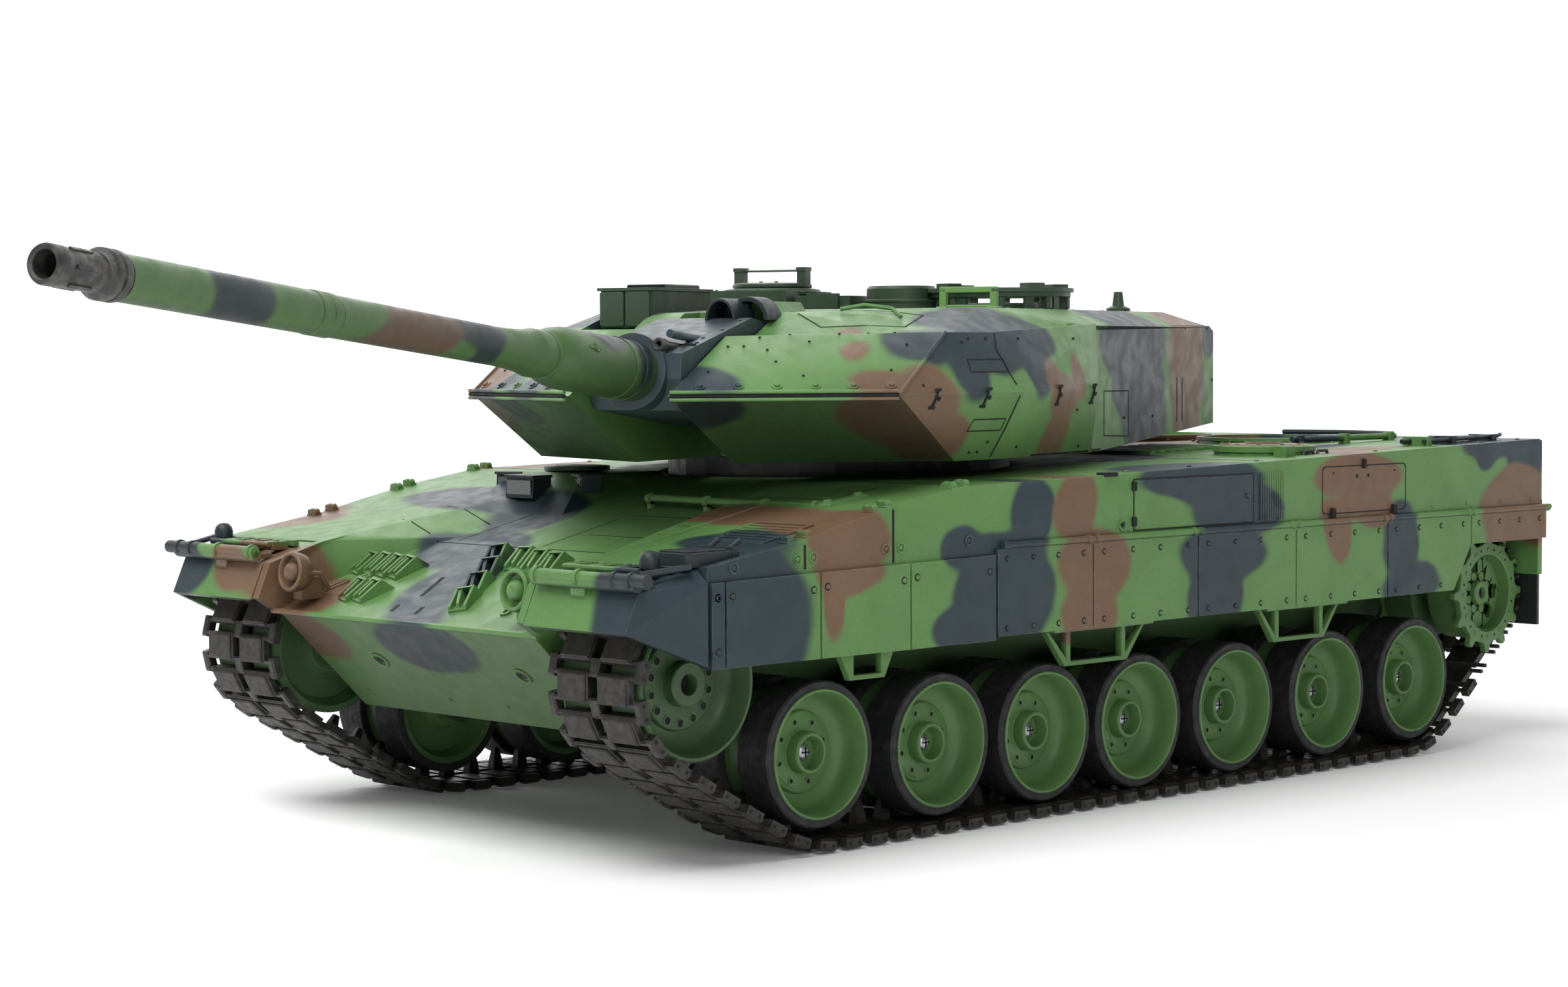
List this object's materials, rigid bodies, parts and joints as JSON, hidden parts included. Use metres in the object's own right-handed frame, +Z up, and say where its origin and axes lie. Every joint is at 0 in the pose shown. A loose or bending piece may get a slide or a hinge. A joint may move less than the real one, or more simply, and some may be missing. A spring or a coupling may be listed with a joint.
{
  "type": "rc tank",
  "caption": "Radio-controlled battle tank with turning turret, elevating gun, opening hatches, sprung road wheels and camouflage paint.",
  "frame": {"origin": "on the ground under the middle of the whole box, with the turret turned left as at rest", "axes": "+Z up, -Y towards the nose, +X towards the tank's left side"},
  "size_m": [0.2746, 0.6474, 0.176],
  "materials": {
    "camo_paint": "satin moulded plastic in woodland green with blue-grey and brown patches",
    "dark_green": "matt dark green",
    "blue_grey": "matt blue-grey",
    "wheel_green": "satin green",
    "tyre": "matt black rubber",
    "track_black": "dull brown-black",
    "gun_metal": "mottled dark metal",
    "steel": "bright screws and gearbox case",
    "black_plastic": "black",
    "circuit_board": "green lacquer",
    "battery_wrap": "blue shrink film",
    "lens": "clear lamp glass"
  },
  "bodies": {
    "root": {"lower_hull": "camo_paint", "upper_hull": "camo_paint", "engine_deck": "camo_paint", "rear_plate": "camo_paint", "left_skirt": "camo_paint", "right_skirt": "camo_paint", "left_mudguard": "camo_paint", "right_mudguard": "camo_paint", "left_rear_flap": "camo_paint", "right_rear_flap": "camo_paint", "left_track": "track_black", "right_track": "track_black", "drive_gearbox": "steel", "battery_pack": "battery_wrap", "control_board": "circuit_board", "speaker": "black_plastic", "turret_drive": "black_plastic"},
    "turret": {"turret_shell": "camo_paint", "turret_ring": "black_plastic", "gun_lift_unit": "black_plastic", "gunner_sight": "dark_green", "loader_rail": "dark_green"},
    "gun": {"mantlet": "blue_grey", "barrel": "camo_paint"},
    "commander_hatch": {"commander_hatch": "dark_green"},
    "loader_hatch": {"loader_hatch": "dark_green"},
    "driver_hatch": {"driver_hatch": "dark_green"},
    "panoramic_sight": {"panoramic_sight": "dark_green"},
    "left_sprocket": {"left_sprocket": "wheel_green"},
    "left_idler": {"left_idler": "wheel_green"},
    "left_arm_1": {"left_arm_1": "dark_green"},
    "left_wheel_1": {"left_wheel_1": "wheel_green"},
    "left_arm_2": {"left_arm_2": "dark_green"},
    "left_wheel_2": {"left_wheel_2": "wheel_green"},
    "left_arm_3": {"left_arm_3": "dark_green"},
    "left_wheel_3": {"left_wheel_3": "wheel_green"},
    "left_arm_4": {"left_arm_4": "dark_green"},
    "left_wheel_4": {"left_wheel_4": "wheel_green"},
    "left_arm_5": {"left_arm_5": "dark_green"},
    "left_wheel_5": {"left_wheel_5": "wheel_green"},
    "left_arm_6": {"left_arm_6": "dark_green"},
    "left_wheel_6": {"left_wheel_6": "wheel_green"},
    "left_arm_7": {"left_arm_7": "dark_green"},
    "left_wheel_7": {"left_wheel_7": "wheel_green"},
    "right_sprocket": {"right_sprocket": "wheel_green"},
    "right_idler": {"right_idler": "wheel_green"},
    "right_arm_1": {"right_arm_1": "dark_green"},
    "right_wheel_1": {"right_wheel_1": "wheel_green"},
    "right_arm_2": {"right_arm_2": "dark_green"},
    "right_wheel_2": {"right_wheel_2": "wheel_green"},
    "right_arm_3": {"right_arm_3": "dark_green"},
    "right_wheel_3": {"right_wheel_3": "wheel_green"},
    "right_arm_4": {"right_arm_4": "dark_green"},
    "right_wheel_4": {"right_wheel_4": "wheel_green"},
    "right_arm_5": {"right_arm_5": "dark_green"},
    "right_wheel_5": {"right_wheel_5": "wheel_green"},
    "right_arm_6": {"right_arm_6": "dark_green"},
    "right_wheel_6": {"right_wheel_6": "wheel_green"},
    "right_arm_7": {"right_arm_7": "dark_green"},
    "right_wheel_7": {"right_wheel_7": "wheel_green"}
  },
  "joints": [
    {"name": "turret_yaw", "type": "hinge", "parent": "root", "child": "turret", "pos_m": [-0.00729, 0.06531, 0.11], "axis": [0, 0, 1], "range_deg": [-180, 140]},
    {"name": "gun_elevation", "type": "hinge", "parent": "turret", "child": "gun", "pos_m": [0.02402, -0.02119, 0.1355], "axis": [-0.9403, -0.3404, 0], "range_deg": [-7.5, 12]},
    {"name": "commander_hatch_lift", "type": "hinge", "parent": "turret", "child": "commander_hatch", "pos_m": [-0.06353, 0.09728, 0.1687], "axis": [-0.9403, -0.3404, 0], "range_deg": [0, 100]},
    {"name": "loader_hatch_lift", "type": "hinge", "parent": "turret", "child": "loader_hatch", "pos_m": [0.01868, 0.12576, 0.1603], "axis": [-0.9403, -0.3404, 0], "range_deg": [0, 90]},
    {"name": "driver_hatch_swing", "type": "hinge", "parent": "root", "child": "driver_hatch", "pos_m": [-0.06429, -0.00639, 0.1072], "axis": [0, 0, -1], "range_deg": [0, 110]},
    {"name": "panoramic_sight_turn", "type": "hinge", "parent": "turret", "child": "panoramic_sight", "pos_m": [-0.05109, 0.14517, 0.165], "axis": [0, 0, 1], "continuous": true},
    {"name": "left_sprocket_spin", "type": "hinge", "parent": "root", "child": "left_sprocket", "pos_m": [0.07971, 0.29891, 0.056], "axis": [1, 0, 0], "continuous": true},
    {"name": "left_idler_spin", "type": "hinge", "parent": "root", "child": "left_idler", "pos_m": [0.07971, -0.09509, 0.053], "axis": [1, 0, 0], "continuous": true},
    {"name": "left_arm_1_bump", "type": "hinge", "parent": "root", "child": "left_arm_1", "pos_m": [0.05771, -0.06709, 0.0401], "axis": [1, 0, 0], "range_deg": [0, 12], "stiffness_Nm_per_rad": 0.15, "springref_deg": -11.46},
    {"name": "left_wheel_1_spin", "type": "hinge", "parent": "left_arm_1", "child": "left_wheel_1", "pos_m": [0.07971, -0.04709, 0.0291], "axis": [1, 0, 0], "continuous": true},
    {"name": "left_arm_2_bump", "type": "hinge", "parent": "root", "child": "left_arm_2", "pos_m": [0.05771, -0.01569, 0.0383], "axis": [1, 0, 0], "range_deg": [0, 12], "stiffness_Nm_per_rad": 0.15, "springref_deg": -11.46},
    {"name": "left_wheel_2_spin", "type": "hinge", "parent": "left_arm_2", "child": "left_wheel_2", "pos_m": [0.07971, 0.00431, 0.0273], "axis": [1, 0, 0], "continuous": true},
    {"name": "left_arm_3_bump", "type": "hinge", "parent": "root", "child": "left_arm_3", "pos_m": [0.05771, 0.03241, 0.0376], "axis": [1, 0, 0], "range_deg": [0, 12], "stiffness_Nm_per_rad": 0.15, "springref_deg": -11.46},
    {"name": "left_wheel_3_spin", "type": "hinge", "parent": "left_arm_3", "child": "left_wheel_3", "pos_m": [0.07971, 0.05241, 0.0266], "axis": [1, 0, 0], "continuous": true},
    {"name": "left_arm_4_bump", "type": "hinge", "parent": "root", "child": "left_arm_4", "pos_m": [0.05771, 0.07881, 0.0373], "axis": [1, 0, 0], "range_deg": [0, 12], "stiffness_Nm_per_rad": 0.15, "springref_deg": -11.46},
    {"name": "left_wheel_4_spin", "type": "hinge", "parent": "left_arm_4", "child": "left_wheel_4", "pos_m": [0.07971, 0.09881, 0.0263], "axis": [1, 0, 0], "continuous": true},
    {"name": "left_arm_5_bump", "type": "hinge", "parent": "root", "child": "left_arm_5", "pos_m": [0.05771, 0.12891, 0.0375], "axis": [1, 0, 0], "range_deg": [0, 12], "stiffness_Nm_per_rad": 0.15, "springref_deg": -11.46},
    {"name": "left_wheel_5_spin", "type": "hinge", "parent": "left_arm_5", "child": "left_wheel_5", "pos_m": [0.07971, 0.14891, 0.0265], "axis": [1, 0, 0], "continuous": true},
    {"name": "left_arm_6_bump", "type": "hinge", "parent": "root", "child": "left_arm_6", "pos_m": [0.05771, 0.18181, 0.0379], "axis": [1, 0, 0], "range_deg": [0, 12], "stiffness_Nm_per_rad": 0.15, "springref_deg": -11.46},
    {"name": "left_wheel_6_spin", "type": "hinge", "parent": "left_arm_6", "child": "left_wheel_6", "pos_m": [0.07971, 0.20181, 0.0269], "axis": [1, 0, 0], "continuous": true},
    {"name": "left_arm_7_bump", "type": "hinge", "parent": "root", "child": "left_arm_7", "pos_m": [0.05771, 0.23381, 0.0388], "axis": [1, 0, 0], "range_deg": [0, 12], "stiffness_Nm_per_rad": 0.15, "springref_deg": -11.46},
    {"name": "left_wheel_7_spin", "type": "hinge", "parent": "left_arm_7", "child": "left_wheel_7", "pos_m": [0.07971, 0.25381, 0.0278], "axis": [1, 0, 0], "continuous": true},
    {"name": "right_sprocket_spin", "type": "hinge", "parent": "root", "child": "right_sprocket", "pos_m": [-0.09429, 0.29891, 0.056], "axis": [1, 0, 0], "continuous": true},
    {"name": "right_idler_spin", "type": "hinge", "parent": "root", "child": "right_idler", "pos_m": [-0.09429, -0.09509, 0.053], "axis": [1, 0, 0], "continuous": true},
    {"name": "right_arm_1_bump", "type": "hinge", "parent": "root", "child": "right_arm_1", "pos_m": [-0.07229, -0.06709, 0.0401], "axis": [1, 0, 0], "range_deg": [0, 12], "stiffness_Nm_per_rad": 0.15, "springref_deg": -11.46},
    {"name": "right_wheel_1_spin", "type": "hinge", "parent": "right_arm_1", "child": "right_wheel_1", "pos_m": [-0.09429, -0.04709, 0.0291], "axis": [1, 0, 0], "continuous": true},
    {"name": "right_arm_2_bump", "type": "hinge", "parent": "root", "child": "right_arm_2", "pos_m": [-0.07229, -0.01569, 0.0383], "axis": [1, 0, 0], "range_deg": [0, 12], "stiffness_Nm_per_rad": 0.15, "springref_deg": -11.46},
    {"name": "right_wheel_2_spin", "type": "hinge", "parent": "right_arm_2", "child": "right_wheel_2", "pos_m": [-0.09429, 0.00431, 0.0273], "axis": [1, 0, 0], "continuous": true},
    {"name": "right_arm_3_bump", "type": "hinge", "parent": "root", "child": "right_arm_3", "pos_m": [-0.07229, 0.03241, 0.0376], "axis": [1, 0, 0], "range_deg": [0, 12], "stiffness_Nm_per_rad": 0.15, "springref_deg": -11.46},
    {"name": "right_wheel_3_spin", "type": "hinge", "parent": "right_arm_3", "child": "right_wheel_3", "pos_m": [-0.09429, 0.05241, 0.0266], "axis": [1, 0, 0], "continuous": true},
    {"name": "right_arm_4_bump", "type": "hinge", "parent": "root", "child": "right_arm_4", "pos_m": [-0.07229, 0.07881, 0.0373], "axis": [1, 0, 0], "range_deg": [0, 12], "stiffness_Nm_per_rad": 0.15, "springref_deg": -11.46},
    {"name": "right_wheel_4_spin", "type": "hinge", "parent": "right_arm_4", "child": "right_wheel_4", "pos_m": [-0.09429, 0.09881, 0.0263], "axis": [1, 0, 0], "continuous": true},
    {"name": "right_arm_5_bump", "type": "hinge", "parent": "root", "child": "right_arm_5", "pos_m": [-0.07229, 0.12891, 0.0375], "axis": [1, 0, 0], "range_deg": [0, 12], "stiffness_Nm_per_rad": 0.15, "springref_deg": -11.46},
    {"name": "right_wheel_5_spin", "type": "hinge", "parent": "right_arm_5", "child": "right_wheel_5", "pos_m": [-0.09429, 0.14891, 0.0265], "axis": [1, 0, 0], "continuous": true},
    {"name": "right_arm_6_bump", "type": "hinge", "parent": "root", "child": "right_arm_6", "pos_m": [-0.07229, 0.18181, 0.0379], "axis": [1, 0, 0], "range_deg": [0, 12], "stiffness_Nm_per_rad": 0.15, "springref_deg": -11.46},
    {"name": "right_wheel_6_spin", "type": "hinge", "parent": "right_arm_6", "child": "right_wheel_6", "pos_m": [-0.09429, 0.20181, 0.0269], "axis": [1, 0, 0], "continuous": true},
    {"name": "right_arm_7_bump", "type": "hinge", "parent": "root", "child": "right_arm_7", "pos_m": [-0.07229, 0.23381, 0.0388], "axis": [1, 0, 0], "range_deg": [0, 12], "stiffness_Nm_per_rad": 0.15, "springref_deg": -11.46},
    {"name": "right_wheel_7_spin", "type": "hinge", "parent": "right_arm_7", "child": "right_wheel_7", "pos_m": [-0.09429, 0.25381, 0.0278], "axis": [1, 0, 0], "continuous": true}
  ],
  "couplings": [
    {"joint": "left_idler_spin", "follows": "left_sprocket_spin", "ratio": 0.9306},
    {"joint": "left_wheel_1_spin", "follows": "left_sprocket_spin", "ratio": 0.9271},
    {"joint": "left_wheel_2_spin", "follows": "left_sprocket_spin", "ratio": 0.9271},
    {"joint": "left_wheel_3_spin", "follows": "left_sprocket_spin", "ratio": 0.9271},
    {"joint": "left_wheel_4_spin", "follows": "left_sprocket_spin", "ratio": 0.9271},
    {"joint": "left_wheel_5_spin", "follows": "left_sprocket_spin", "ratio": 0.9271},
    {"joint": "left_wheel_6_spin", "follows": "left_sprocket_spin", "ratio": 0.9271},
    {"joint": "left_wheel_7_spin", "follows": "left_sprocket_spin", "ratio": 0.9271},
    {"joint": "right_idler_spin", "follows": "right_sprocket_spin", "ratio": 0.9306},
    {"joint": "right_wheel_1_spin", "follows": "right_sprocket_spin", "ratio": 0.9271},
    {"joint": "right_wheel_2_spin", "follows": "right_sprocket_spin", "ratio": 0.9271},
    {"joint": "right_wheel_3_spin", "follows": "right_sprocket_spin", "ratio": 0.9271},
    {"joint": "right_wheel_4_spin", "follows": "right_sprocket_spin", "ratio": 0.9271},
    {"joint": "right_wheel_5_spin", "follows": "right_sprocket_spin", "ratio": 0.9271},
    {"joint": "right_wheel_6_spin", "follows": "right_sprocket_spin", "ratio": 0.9271},
    {"joint": "right_wheel_7_spin", "follows": "right_sprocket_spin", "ratio": 0.9271}
  ]
}
